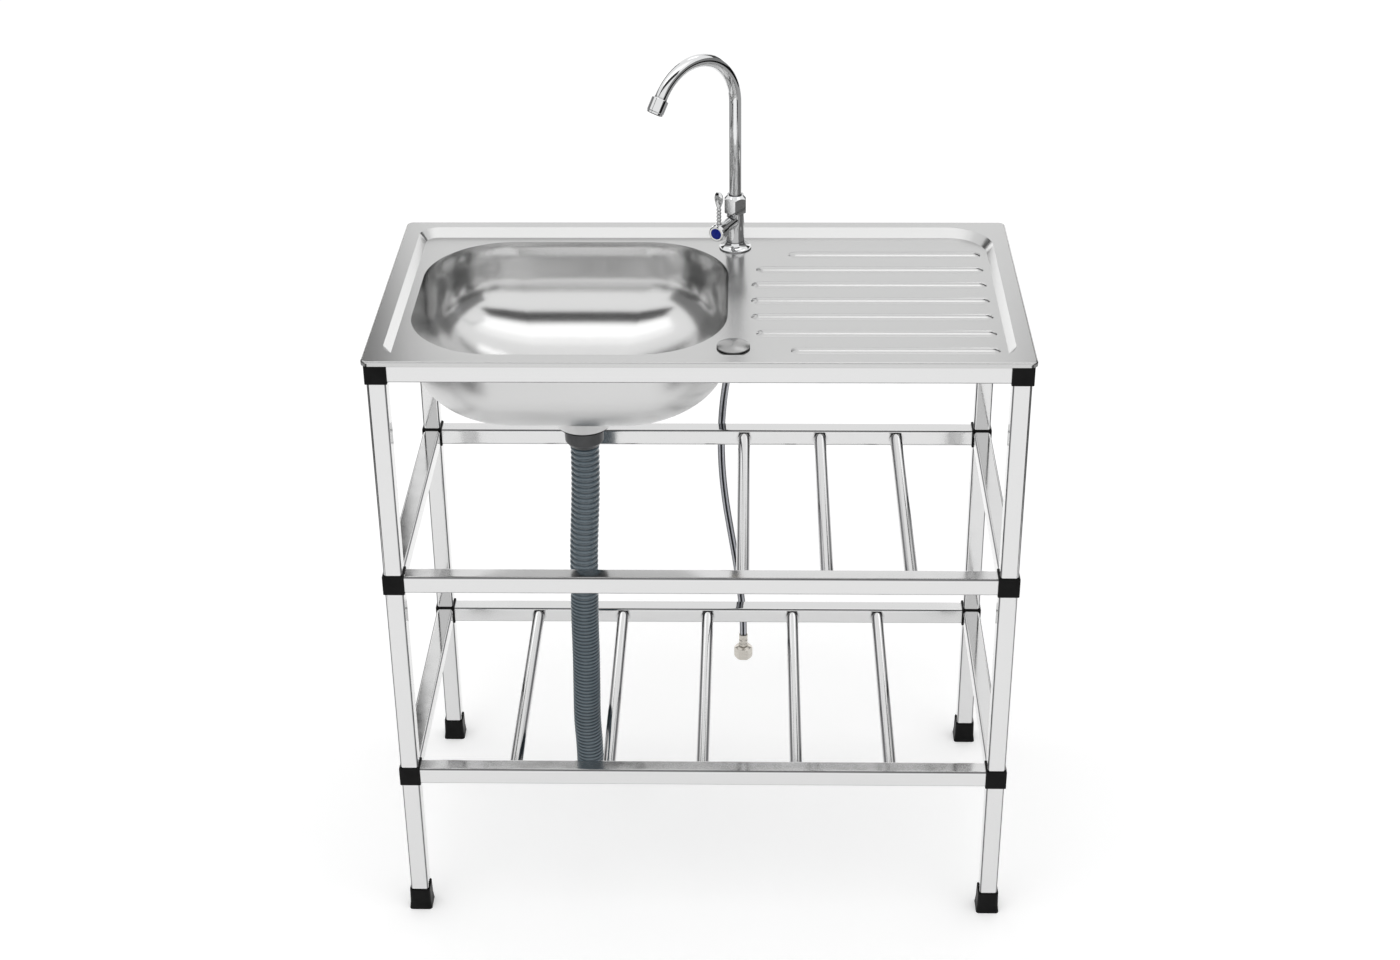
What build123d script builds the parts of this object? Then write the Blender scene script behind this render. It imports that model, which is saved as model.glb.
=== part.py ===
from build123d import *
import os
from math import cos, hypot, radians, sin, tan

# Free-standing kitchen sink unit: a pressed steel sink with a ribbed drainer on a tube frame
# with two rod shelves, a single cold gooseneck tap, a braided supply hose and a ribbed waste
# hose. Millimetres. +X right, +Y to the rear, +Z up; the origin is on the floor, under the
# middle of the sink.

# ------------------------------------------------------------------ driving dimensions
# Sink sheet
SINK_WIDTH = 750.0
SINK_DEPTH = 400.0
SINK_CORNER_R = 8.5
SHEET = 0.8
LIP_HEIGHT = 5.6
LIP_BEND_R = 2.4
LIP_OVERHANG = 3.0            # from the frame's corner joints to the outside of the lip
RECESS_DEPTH = 9.0
DECK_BELOW_RAIL = 2.7         # recessed deck, below the top of the top rails
SLOPE_RUN_SIDE = 8.0
SLOPE_RUN_FRONT = 9.0
SLOPE_RUN_REAR = 12.0
RECESS_R_SMALL = 14.0
RECESS_R_LARGE = 46.0         # rear right corner only
SLOPE_R_GROWTH = 10.0         # how much rounder the press is at the rim than at its foot
REST_GAP = 0.1                # between the press and the rails that it rests on

# Drainer ridges
RIDGE_PITCH = 44.6
RIDGE_REAR_MARGIN = 52.45     # from the recess's foot to the middle of the first ridge
RIDGE_FRONT_MARGIN = 16.0     # the least from the last ridge's middle to the recess's foot
RIDGE_WIDTH = 18.0
RIDGE_HEIGHT = 2.4
RIDGE_START_GAP = 26.9        # from the edge of the basin
RIDGE_END_GAP = 8.3           # from the foot of the recess
RIDGE_SETBACK = 45.0          # how far the first and last ridges stand back from the tap holes

# Basin
BASIN_MARGIN = 10.4           # from the foot of the recess, on the left
BASIN_Y = -2.6
BASIN_WIDTH = 367.0
BASIN_LENGTH = 319.0
BASIN_CORNER_R = 105.0
BASIN_DEPTH = 135.0
BASIN_SWEEP_HEIGHT = 90.0     # height over which the wall sweeps in to the floor
BASIN_SWEEP_REACH = 130.0     # and how far in it comes
BASIN_FLOOR_SHIFT = -6.0      # the floor lies a little to the left of the mouth
BASIN_FLOOR_R = 18.0
BASIN_FLANGE = 7.0
BASIN_SECTIONS = (0, 16, 32, 48, 62, 75, 90)     # degrees round the sweep

# Waste
WASTE_RIGHT = 9.9             # of the middle of the basin
WASTE_FORWARD = 27.4          # of the middle of the basin
WASTE_RECESS_DROP = 19.0      # below the lowest point of the basin floor
WASTE_RECESS_D = 64.0
WASTE_RECESS_TOP_D = 84.0
WASTE_HOLE_D = 44.0
STRAINER_D = 60.0
STRAINER_THICK = 1.2
STRAINER_HOLE_D = 5.0
STRAINER_CIRCLE_D = 34.0
STRAINER_HOLE_COUNT = 10
STRAINER_DISH = 3.0           # width of the dished band inside the raised ring
SCREW_D = 6.0
SCREW_HEAD_D = 12.0
SCREW_HEAD_HEIGHT = 2.3
SCREW_SLOT = 1.2
SCREW_REACH = 12.0            # below the top of the waste body
GASKET_THICK = 3.0
GASKET_D = 61.0
WASTE_RIM_D = 52.0
WASTE_RIM_THICK = 3.5
WASTE_BODY_D = 47.8
WASTE_BODY_HEIGHT = 19.0
WASTE_TAPER_HEIGHT = 6.5
WASTE_WALL = 3.0
WASTE_SPOKE = 3.0
WASTE_SPOKE_DEPTH = 10.0
WASTE_BOSS_D = 13.0
WASTE_BOSS_DEPTH = 16.0

# Waste hose: route of its middle line from the coupling down, chosen by hand
HOSE_OUTER_D = 35.0
HOSE_ROOT_D = 31.0
HOSE_BORE_D = 28.0
HOSE_LONG_PITCH = 7.4         # stretched ribs, above
HOSE_SHORT_PITCH = 5.0        # closed-up ribs, below
HOSE_LONG_SHARE = 0.44        # share of the length with stretched ribs
HOSE_DROPS = (42, 52, 54, 52, 50, 54, 56, 46, 40, 37)        # height of each run
HOSE_SHIFT_X = (0, -2.6, -3.3, -1.0, -1.2, 0.2, -1.2, -1.0, 2.3, 0)
HOSE_SHIFT_Y = (0, 0.6, -0.4, 1.0, -0.8, -1.0, 0.8, 0.6, -0.8, 0)

# Frame
TUBE = 22.0
TUBE_WALL = 1.0
TUBE_R = 3.0
JOINT_CUBE = 25.5
JOINT_EDGE = 1.2
FOOT_LEG_HEIGHT = 193.3       # floor to the underside of the lowest corner joints
SHELF_LEG = 250.5             # leg tube between two corner joints
SPIGOT_LENGTH = 24.0
SPIGOT_CLEARANCE = 0.15
SPIGOT_CHAMFER = 1.5
SPIGOT_CORNER = 1.2
CAP_HEIGHT = 29.0
CAP_TOP = 25.5
CAP_WAIST = 26.3
CAP_BASE = 28.6
CAP_R = 4.0
CAP_FLOOR = 3.0
CAP_CLEARANCE = 0.15

# Shelf rods
ROD_D = 16.0
ROD_WALL = 1.0
LOWER_ROD_COUNT = 5
MIDDLE_ROD_COUNT = 3          # at the right-hand end
MIDDLE_GAP_COUNT = 7          # equal gaps that the rods are set out by
PLUG_FLANGE = 2.0
PLUG_LENGTH = 16.0
PLUG_PIN_D = 6.0
PLUG_PIN_LENGTH = 4.0
PIN_CLEARANCE = 0.1

# Tap holes, one behind and one in front, for a left or right hand tap
TAP_BESIDE_BASIN = 7.3        # from the edge of the basin to the middle of the tap
TAP_HOLE_SETBACK = 58.5       # from the sink's front and rear edges
TAP_HOLE_D = 26.0
COVER_D = 38.0
COVER_EDGE = 1.0
COVER_RISE = 3.6
COVER_GASKET_THICK = 1.2
COVER_STUD_D = 8.0
COVER_STUD_LENGTH = 26.0
COVER_NUT_D = 34.0
COVER_NUT_THICK = 4.0
COVER_NUT_HUB_D = 16.0
COVER_NUT_HEIGHT = 15.0
WING_THICK = 3.0
WING_REACH = 15.0

# Tap body
BODY_D = 22.0
BODY_HEIGHT = 66.0            # above the deck
FLANGE_D = 39.5
FLANGE_HEIGHT = 9.0
FLANGE_EDGE = 1.6
FLANGE_TOP_WALL = 1.2
FLANGE_HOLLOW_WALL = 3.4      # half way up its flare
SHANK_D = 20.6
SHANK_LENGTH = 50.0
WATERWAY_D = 9.0
SEAT_WASHER_THICK = 2.0
SEAT_WASHER_D = 34.0
LOCK_NUT_FLATS = 30.0
LOCK_NUT_HEIGHT = 8.0

# Valve branch and handle
VALVE_HEIGHT = 37.0           # axis above the deck
VALVE_TURN = 26.0             # degrees from straight ahead towards the basin
BRANCH_D = 16.0
BRANCH_REACH = 36.0
CARTRIDGE_D = 12.0
CARTRIDGE_START = 14.0
SPINDLE_D = 6.0
SPINDLE_START = 17.0
SPINDLE_END = 46.0
SHAFT_CLEARANCE = 0.05        # radial
HUB_GAP = 0.3
HUB_D = 21.0
HUB_LENGTH = 16.0
HUB_EDGE = 0.9
HUB_BEVEL = 2.0
INDEX_D = 13.4
INDEX_DEPTH = 1.6
INDEX_RISE = 0.7
LEVER_TOP = 51.0              # above the valve's axis
LEVER_NECK_D = 6.0
LEVER_ROOT_DEPTH = 1.5        # of the neck's root inside the hub
LEVER_NECK_TOP = 31.0
LEVER_BEAD_COUNT = 5
BEAD_DEPTH = 0.9
PADDLE_WIDTH = 11.5
PADDLE_THICK = 4.6
PADDLE_SHAPE = ((0, 0.42, 0.8), (0.22, 0.72, 0.95), (0.55, 1, 1), (0.85, 0.86, 0.85), (1, 0.5, 0.55))
LEVER_SETBACK = 8.0           # lever's middle line, from the back of the hub

# Spout
SPOUT_D = 15.6
SPOUT_WALL = 1.0
SPOUT_BEND_R = 65.2
SPOUT_BEND_ANGLE = 147.0
SPOUT_RISE = 188.0            # deck to the start of the bend
SPOUT_TAIL = 8.0              # straight end that the aerator screws on to
SPOUT_SWIVEL = 45.0           # degrees from straight ahead towards the basin
SPOUT_SOCKET = 26.0           # depth of the spout's foot inside the body
SPOUT_BEAD_D = 18.2
SPOUT_BEAD_HEIGHT = 3.0
BEAD_CLEARANCE = 0.1
SPOUT_NUT_FLATS = 26.0
SPOUT_NUT_HEIGHT = 22.0
SPOUT_NUT_TAPER = 4.8
SPOUT_NUT_TOP_D = 20.6
SPOUT_NUT_LAP = 18.0          # how far the nut comes down over the body
NUT_EDGE = 1.2                # bevel on the corners of the nuts
AERATOR_D = 21.4
AERATOR_LENGTH = 18.5
AERATOR_LAP = 6.0
AERATOR_EDGE = 0.8
AERATOR_COLLAR = 1.9          # height of the narrower collar round its mouth
AERATOR_COLLAR_STEP = 0.7
AERATOR_WALL = 2.2
SCREEN_SETBACK = 3.0
SCREEN_THICK = 1.6
SCREEN_HOLE_D = 1.4
SCREEN_FIRST_RING_R = 2.6
SCREEN_RING_PITCH = 3.4
SCREEN_RING_COUNT = 2
SCREEN_HOLE_COUNT = 6         # in the first ring, and as many more in each further one

# Supply hose: route of its middle line from under the tap, chosen by hand
SUPPLY_D = 9.5
SUPPLY_FERRULE_D = 12.0
SUPPLY_FERRULE_LENGTH = 19.0
FERRULE_EDGE = 0.5
GROOVE_PLACES = (0.32, 0.62)  # share of the ferrule's length
GROOVE_WIDTH = 3.0
GROOVE_DEPTH = 0.6
SUPPLY_TOP_NUT_FLATS = 24.0
SUPPLY_TOP_NUT_HEIGHT = 14.0
SUPPLY_TOP_NUT_LAP = 9.0
SUPPLY_NUT_FLATS = 22.0
SUPPLY_NUT_LENGTH = 17.5
SUPPLY_THREAD_D = 18.6
SUPPLY_THREAD_DEPTH = 11.0
SUPPLY_ROUTE = (              # right, rearwards and down from the end of the upper ferrule
    (0, 0, 28), (-1.9, 5.5, 64), (-8.9, 29.5, 108), (-15.6, 56.5, 160), (-19.6, 65.5, 214),
    (-19.1, 66, 268), (-14.6, 65.5, 320), (-7, 66.1, 372), (1.1, 65.5, 424),
    (6.8, 65.1, 472), (10.2, 65.5, 510), (10.2, 65.5, 537))

# ------------------------------------------------------------------ derived places
FRAME_WIDTH = SINK_WIDTH - 2 * LIP_OVERHANG
FRAME_DEPTH = SINK_DEPTH - 2 * LIP_OVERHANG
LEG_X = (FRAME_WIDTH - JOINT_CUBE) / 2
LEG_Y = (FRAME_DEPTH - JOINT_CUBE) / 2
LEVEL_PITCH = JOINT_CUBE + SHELF_LEG
LEVEL_Z = [FOOT_LEG_HEIGHT + JOINT_CUBE / 2 + i * LEVEL_PITCH for i in range(3)]
LEVEL_NAMES = ("lower", "middle", "top")
RAIL_TOP = LEVEL_Z[2] + TUBE / 2
RAIL_X_LENGTH = FRAME_WIDTH - 2 * JOINT_CUBE
RAIL_Y_LENGTH = FRAME_DEPTH - 2 * JOINT_CUBE
BORE = TUBE - 2 * TUBE_WALL

DECK_Z = RAIL_TOP - DECK_BELOW_RAIL
RIM_Z = DECK_Z + RECESS_DEPTH


def recess_foot(leg, run):
    """Distance of the recess's foot from the middle, where its slope rests on a rail's corner."""
    corner = leg - TUBE / 2 + TUBE_R
    corner_drop = DECK_BELOW_RAIL - TUBE_R
    reach = hypot(run, RECESS_DEPTH) * (TUBE_R + SHEET + REST_GAP)
    return corner - (reach + corner_drop * run) / RECESS_DEPTH


FOOT_SIDE = recess_foot(LEG_X, SLOPE_RUN_SIDE)
FOOT_FRONT = recess_foot(LEG_Y, SLOPE_RUN_FRONT)
FOOT_REAR = recess_foot(LEG_Y, SLOPE_RUN_REAR)
BASIN_X = BASIN_MARGIN - FOOT_SIDE + BASIN_WIDTH / 2
BASIN_RIGHT = BASIN_X + BASIN_WIDTH / 2
WASTE_X = BASIN_X + WASTE_RIGHT
WASTE_Y = BASIN_Y - WASTE_FORWARD
TAP_X = BASIN_RIGHT + TAP_BESIDE_BASIN
TAP_Y = SINK_DEPTH / 2 - TAP_HOLE_SETBACK
RIDGE_REAR_Y = FOOT_REAR - RIDGE_REAR_MARGIN
RIDGE_COUNT = 1 + int((RIDGE_REAR_Y + FOOT_FRONT - RIDGE_FRONT_MARGIN) / RIDGE_PITCH)
RIDGE_START = BASIN_RIGHT + RIDGE_START_GAP
RIDGE_END = FOOT_SIDE - RIDGE_END_GAP

BASIN_TOP = DECK_Z - SHEET
BASIN_FLOOR = DECK_Z - BASIN_DEPTH
RECESS_FLOOR = BASIN_FLOOR - WASTE_RECESS_DROP
GASKET_TOP = RECESS_FLOOR - SHEET
WASTE_TOP = GASKET_TOP - GASKET_THICK
WASTE_BOTTOM = WASTE_TOP - WASTE_BODY_HEIGHT - WASTE_TAPER_HEIGHT

VALVE_Z = DECK_Z + VALVE_HEIGHT
BODY_TOP = DECK_Z + BODY_HEIGHT
SHANK_BOTTOM = DECK_Z - SHANK_LENGTH
VALVE_AXIS = Vector(-sin(radians(VALVE_TURN)), -cos(radians(VALVE_TURN)), 0)
HUB_START = BRANCH_REACH + HUB_GAP
HUB_END = HUB_START + HUB_LENGTH
SPOUT_FOOT = BODY_TOP - SPOUT_SOCKET
FERRULE_BOTTOM = SHANK_BOTTOM - SUPPLY_TOP_NUT_HEIGHT + SUPPLY_TOP_NUT_LAP - SUPPLY_FERRULE_LENGTH


# ------------------------------------------------------------------ helpers
def cylinder(diameter, bottom, top, x=0.0, y=0.0):
    """Upright cylinder between two heights."""
    return Pos(x, y, (bottom + top) / 2) * Cylinder(diameter / 2, top - bottom)


def ring(outer, inner, bottom, top, x=0.0, y=0.0):
    """Upright ring between two heights."""
    return cylinder(outer, bottom, top, x, y) - cylinder(inner, bottom - 1, top + 1, x, y)


def hexagon(flats, bottom, top, x=0.0, y=0.0, turn=0.0):
    """Upright hexagonal prism between two heights, by its size across flats."""
    face = RegularPolygon(flats / 2, 6, major_radius=False, rotation=turn)
    return Pos(x, y, bottom) * extrude(face, top - bottom)


def turned(points):
    """Solid turned about the Z axis from (radius, height) points."""
    return revolve(Plane.XZ * make_face(Polyline(*points, close=True)), Axis.Z)


def rounded_plate(x0, x1, y0, y1, z, radii):
    """Face with its own radius at each corner: front left, front right, rear right, rear left."""
    corners = ((x0, y0), (x1, y0), (x1, y1), (x0, y1))
    face = make_face(Polyline(*corners, close=True))
    for (x, y), radius in zip(corners, radii):
        face = fillet(face.vertices().sort_by_distance((x, y, 0))[0], radius)
    return Pos(0, 0, z) * face


def square_tube(length):
    """Square tube with rounded corners, along Z from the origin."""
    outer = RectangleRounded(TUBE, TUBE, TUBE_R)
    inner = RectangleRounded(BORE, BORE, TUBE_R - TUBE_WALL)
    return extrude(outer - inner, length)


# ------------------------------------------------------------------ sink
def recess_block(grow=0.0):
    """Tapered block that fills the recess, or that block grown by a sheet thickness."""
    foot, rim = [], []
    for reach, run in ((FOOT_SIDE, SLOPE_RUN_SIDE), (FOOT_FRONT, SLOPE_RUN_FRONT),
                       (FOOT_REAR, SLOPE_RUN_REAR)):
        outward = grow * hypot(run, RECESS_DEPTH) / RECESS_DEPTH
        foot.append(reach + outward - grow * run / RECESS_DEPTH)
        rim.append(reach + outward + run)
    foot_radii = [RECESS_R_SMALL + grow] * 4
    foot_radii[2] = RECESS_R_LARGE + grow
    rim_radii = [radius + SLOPE_R_GROWTH for radius in foot_radii]
    low = rounded_plate(-foot[0], foot[0], -foot[1], foot[2], DECK_Z - grow, foot_radii)
    high = rounded_plate(-rim[0], rim[0], -rim[1], rim[2], RIM_Z, rim_radii)
    return loft([low.face(), high.face()], ruled=True)


def rim_block(shrink=0.0):
    """Slab with a rounded top edge: the outside of rim and lip, or the space under them."""
    outline = RectangleRounded(SINK_WIDTH - 2 * shrink, SINK_DEPTH - 2 * shrink,
                               SINK_CORNER_R - shrink)
    slab = Pos(0, 0, RIM_Z - LIP_HEIGHT) * extrude(outline, LIP_HEIGHT - shrink)
    return fillet(slab.faces().sort_by(Axis.Z)[-1].edges(), LIP_BEND_R - shrink)


def ridge_block(y, x0, x1, shrink=0.0):
    """Crowned ridge with round ends on the deck, or the hollow that is pressed up inside it."""
    crown_r = (RIDGE_WIDTH ** 2 / 4 + RIDGE_HEIGHT ** 2) / (2 * RIDGE_HEIGHT)
    middle = DECK_Z + RIDGE_HEIGHT - crown_r
    radius = crown_r - shrink
    crown = middle + radius
    base = DECK_Z - 2 * shrink
    half = (radius ** 2 - (base - middle) ** 2) ** 0.5
    start, end = x0 + RIDGE_WIDTH / 2, x1 - RIDGE_WIDTH / 2
    section = Plane.YZ * make_face([ThreePointArc((-half, base), (0, crown), (half, base)),
                                    Line((half, base), (-half, base))])
    slice_face = Plane.XZ * make_face([RadiusArc((0, crown), (half, base), radius),
                                       Line((half, base), (0, base)),
                                       Line((0, base), (0, crown))])
    round_end = revolve(slice_face, Axis.Z, 180)
    ridge = Pos(start, y, 0) * extrude(section, end - start)
    ridge += Pos(start, y, 0) * Rot(0, 0, 90) * round_end
    return ridge + Pos(end, y, 0) * Rot(0, 0, -90) * round_end


def ridge_places():
    """Each drainer ridge's Y and its two ends in X, from the rear forwards."""
    middle = (RIDGE_COUNT - 1) / 2
    for i in range(RIDGE_COUNT):
        setback = RIDGE_SETBACK * (abs(i - middle) / middle) ** 5
        yield RIDGE_REAR_Y - i * RIDGE_PITCH, RIDGE_START + setback, RIDGE_END


def make_sink_top():
    """One pressed sheet: rim, lip, recess, ridges, basin opening and two tap holes."""
    sheet = rim_block() - rim_block(SHEET)
    sheet = sheet + recess_block(SHEET) - recess_block()
    opening = RectangleRounded(BASIN_WIDTH, BASIN_LENGTH, BASIN_CORNER_R)
    sheet -= Pos(BASIN_X, BASIN_Y, DECK_Z - RECESS_DEPTH) * extrude(opening, 2 * RECESS_DEPTH)
    for side in (-1, 1):
        sheet -= cylinder(TAP_HOLE_D, DECK_Z - RECESS_DEPTH, RIM_Z, TAP_X, side * TAP_Y)
    for y, x0, x1 in ridge_places():
        sheet += ridge_block(y, x0, x1)
        sheet -= ridge_block(y, x0, x1, SHEET)
    return sheet


# ------------------------------------------------------------------ basin and waste
def basin_block(grow=0.0):
    """Space inside the basin, or that space grown by a sheet thickness."""
    mouth = RectangleRounded(BASIN_WIDTH + 2 * grow, BASIN_LENGTH + 2 * grow, BASIN_CORNER_R + grow)
    straight = BASIN_TOP - (BASIN_FLOOR + BASIN_SWEEP_HEIGHT)
    outlines = [Pos(0, 0, BASIN_TOP - share * straight) * mouth for share in (0, 0.35, 0.7)]
    for angle in BASIN_SECTIONS:
        across, down = cos(radians(angle)), sin(radians(angle))
        inset = BASIN_SWEEP_REACH * (1 - across) - grow * across
        corner = BASIN_CORNER_R - (BASIN_CORNER_R - BASIN_FLOOR_R) * (1 - across) + grow * across
        z = BASIN_FLOOR + BASIN_SWEEP_HEIGHT * (1 - down) - grow * down
        outline = RectangleRounded(BASIN_WIDTH - 2 * inset, BASIN_LENGTH - 2 * inset, corner)
        outlines.append(Pos(BASIN_FLOOR_SHIFT * (1 - across), 0, z) * outline)
    return Pos(BASIN_X, BASIN_Y, 0) * loft([outline.face() for outline in outlines])


def at_waste(solid):
    """A solid made about the origin, moved to the waste's axis."""
    return Pos(WASTE_X, WASTE_Y, 0) * solid


def waste_recess_block(grow=0.0):
    """Tapered space pressed down round the waste hole, or that space grown by the sheet."""
    low, high = WASTE_RECESS_D / 2 + grow, WASTE_RECESS_TOP_D / 2 + grow
    reach = 2 * WASTE_RECESS_DROP
    spread = (high - low) * reach / WASTE_RECESS_DROP
    bottom, top = RECESS_FLOOR - grow, RECESS_FLOOR + reach
    return at_waste(turned(((0, bottom), (low, bottom), (low + spread, top), (0, top))))


def make_basin():
    """Deep bowl welded under the deck, with a pressed seat for the waste."""
    flange = RectangleRounded(BASIN_WIDTH + 2 * BASIN_FLANGE, BASIN_LENGTH + 2 * BASIN_FLANGE,
                              BASIN_CORNER_R + BASIN_FLANGE)
    bowl = basin_block(SHEET) + waste_recess_block(SHEET)
    bowl += Pos(BASIN_X, BASIN_Y, BASIN_TOP - SHEET) * extrude(flange, SHEET)
    bowl -= basin_block()
    bowl -= waste_recess_block()
    return bowl - at_waste(cylinder(WASTE_HOLE_D, GASKET_TOP - 1, RECESS_FLOOR + 1))


def make_strainer():
    """Dished disc with a ring of holes, seated on the floor of the waste recess."""
    r, low = STRAINER_D / 2, RECESS_FLOOR
    face, crest = low + STRAINER_THICK, low + 2 * STRAINER_THICK
    ring_r = r - 2 * STRAINER_DISH - SHEET
    disc = turned(((0, low), (r, low), (r, face), (ring_r + STRAINER_DISH, crest),
                   (ring_r, crest), (ring_r - STRAINER_DISH, face), (0, face)))
    disc -= cylinder(SCREW_D + 2 * PIN_CLEARANCE, low - 1, crest)
    for place in PolarLocations(STRAINER_CIRCLE_D / 2, STRAINER_HOLE_COUNT):
        disc -= place * cylinder(STRAINER_HOLE_D, low - 1, crest + 1)
    return at_waste(disc)


def make_strainer_screw():
    """Slotted screw that clamps strainer, basin, gasket and waste body together."""
    seat = RECESS_FLOOR + STRAINER_THICK
    crown = seat + SCREW_HEAD_HEIGHT
    r, head_r, low = SCREW_D / 2, SCREW_HEAD_D / 2, WASTE_TOP - SCREW_REACH
    screw = turned(((0, low), (r, low), (r, seat), (head_r, seat),
                    (0.9 * head_r, crown - 0.2 * SCREW_HEAD_HEIGHT), (0, crown)))
    screw -= Pos(0, 0, crown) * Box(SCREW_HEAD_D, SCREW_SLOT, SCREW_HEAD_HEIGHT)
    return at_waste(screw)


def make_waste_gasket():
    """Black rubber ring between the basin and the waste body."""
    return ring(GASKET_D, WASTE_HOLE_D, WASTE_TOP, GASKET_TOP, WASTE_X, WASTE_Y)


def make_waste_body():
    """Grey coupling under the basin: rim, skirt, taper to the hose, and a screw boss on spokes."""
    rim, skirt, tail = WASTE_RIM_D / 2, WASTE_BODY_D / 2, HOSE_OUTER_D / 2 + 1
    bore, outlet = skirt - WASTE_WALL, HOSE_BORE_D / 2
    under_rim = WASTE_TOP - WASTE_RIM_THICK
    shoulder = WASTE_TOP - WASTE_BODY_HEIGHT
    body = turned(((bore, WASTE_TOP), (rim, WASTE_TOP), (rim, under_rim), (skirt, under_rim - 1),
                   (skirt - 0.6, shoulder), (tail, WASTE_BOTTOM), (outlet, WASTE_BOTTOM),
                   (bore - 1, shoulder)))
    spoke = Pos(0, 0, WASTE_TOP - WASTE_SPOKE_DEPTH / 2) * Box(2 * bore + 1, WASTE_SPOKE, WASTE_SPOKE_DEPTH)
    for turn in (0, 60, 120):
        body += Rot(0, 0, turn) * spoke
    boss_end = WASTE_TOP - WASTE_BOSS_DEPTH
    body += cylinder(WASTE_BOSS_D, boss_end, WASTE_TOP)
    return at_waste(body - cylinder(SCREW_D + 2 * PIN_CLEARANCE, boss_end - 1, WASTE_TOP + 1))


# ------------------------------------------------------------------ hoses
def route_wire(points):
    """Straight runs joined by arcs as large as the shorter run at each corner allows."""
    corners = [Vector(*point) for point in points]
    radii = []
    for before, here, after in zip(corners, corners[1:], corners[2:]):
        turn = radians((here - before).get_angle(after - here))
        shorter = min((here - before).length, (after - here).length)
        radii.append(0.45 * shorter / tan(turn / 2))
    print("  bend radii:", ", ".join(f"{radius:.0f}" for radius in radii))
    return FilletPolyline(*corners, radius=radii)


def drain_hose_points():
    """Route of the waste hose from the coupling's outlet downwards."""
    x, y, z = WASTE_X, WASTE_Y, WASTE_BOTTOM
    points = [(x, y, z)]
    for drop, shift_x, shift_y in zip(HOSE_DROPS, HOSE_SHIFT_X, HOSE_SHIFT_Y):
        x, y, z = x + shift_x, y + shift_y, z - drop
        points.append((x, y, z))
    return points


def hose_stations(length):
    """Distance along the hose and diameter of each circle: four to a rib."""
    stations = [(0.0, HOSE_ROOT_D)]
    along = 2.0
    long_end = length * HOSE_LONG_SHARE
    while True:
        pitch = HOSE_LONG_PITCH if along < long_end else HOSE_SHORT_PITCH
        if along + pitch > length - 1.0:
            break
        for share, diameter in ((0.0, HOSE_ROOT_D), (0.28, HOSE_OUTER_D), (0.62, HOSE_OUTER_D),
                                (0.9, HOSE_ROOT_D)):
            stations.append((along + share * pitch, diameter))
        along += pitch
    stations.append((length, HOSE_ROOT_D))
    return stations


def make_drain_hose():
    """Ribbed hose with its bore, hanging from the waste body."""
    path = route_wire(drain_hose_points())
    length = path.length

    def circle(along, diameter):
        share = along / length
        plane = Plane(origin=path.position_at(share), x_dir=(1, 0, 0), z_dir=path.tangent_at(share))
        return (plane * Circle(diameter / 2)).face()

    stations = hose_stations(length)
    outside = loft([circle(along, diameter) for along, diameter in stations], ruled=True)
    bore = loft([circle(length * i / 12, HOSE_BORE_D) for i in range(13)], ruled=True)
    hose = outside - bore
    print(f"  drain hose: {length:.0f} mm long, {(len(stations) - 2) // 4} ribs")
    return hose


def supply_hose_points():
    """Route of the supply hose from the end of its upper ferrule to its lower one."""
    steps = ((0, 0, 0), *SUPPLY_ROUTE)
    return [(TAP_X + x, TAP_Y + y, FERRULE_BOTTOM - drop) for x, y, drop in steps]


def make_supply_hose():
    """Braided hose from the tap's ferrule, behind the two rear rails, to its loose end."""
    path = route_wire(supply_hose_points())
    section = Plane(origin=path @ 0, z_dir=path % 0) * Circle(SUPPLY_D / 2)
    hose = sweep(section, path=path)
    share = hose.volume / (section.area * path.length)
    print(f"  supply hose: {path.length:.0f} mm long, volume {share:.4f} of section x length")
    return hose


def make_ferrule(x, y, top):
    """Crimped steel sleeve on an end of the supply hose, with two pressed grooves."""
    r, half = SUPPLY_FERRULE_D / 2, GROOVE_WIDTH / 2
    low = top - SUPPLY_FERRULE_LENGTH
    points = [(0, low), (r - FERRULE_EDGE, low), (r, low + FERRULE_EDGE)]
    for share in GROOVE_PLACES:
        z = low + share * SUPPLY_FERRULE_LENGTH
        points += [(r, z - half), (r - GROOVE_DEPTH, z - half / 2)]
        points += [(r - GROOVE_DEPTH, z + half / 2), (r, z + half)]
    points += [(r, top - FERRULE_EDGE), (r - FERRULE_EDGE, top), (0, top)]
    return Pos(x, y, 0) * turned(points)


def make_supply_nut(x, y, top):
    """Hexagonal swivel nut on the hose's loose end, threaded from below."""
    low = top - SUPPLY_NUT_LENGTH
    corner = SUPPLY_NUT_FLATS / 2 / cos(radians(30))
    shape = turned(((0, low), (corner - NUT_EDGE, low), (corner, low + NUT_EDGE),
                    (corner, top - 2 * NUT_EDGE), (SUPPLY_FERRULE_D / 2 + 1, top), (0, top)))
    nut = shape & hexagon(SUPPLY_NUT_FLATS, low, top)
    return Pos(x, y, 0) * (nut - cylinder(SUPPLY_THREAD_D, low - 1, low + SUPPLY_THREAD_DEPTH))


def make_supply_top_nut():
    """Hexagonal nut that draws the hose's upper end on to the tap's shank."""
    top = SHANK_BOTTOM + SUPPLY_TOP_NUT_LAP
    nut = hexagon(SUPPLY_TOP_NUT_FLATS, top - SUPPLY_TOP_NUT_HEIGHT, top, TAP_X, TAP_Y)
    return nut - cylinder(SHANK_D + 2 * PIN_CLEARANCE, SHANK_BOTTOM, top + 1, TAP_X, TAP_Y)


# ------------------------------------------------------------------ frame
def joint_sites():
    """Name and plan position of each of the four corners."""
    for y_name, y_side in (("front", -1), ("rear", 1)):
        for x_name, x_side in (("left", -1), ("right", 1)):
            yield f"{y_name}_{x_name}", x_side, y_side


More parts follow.
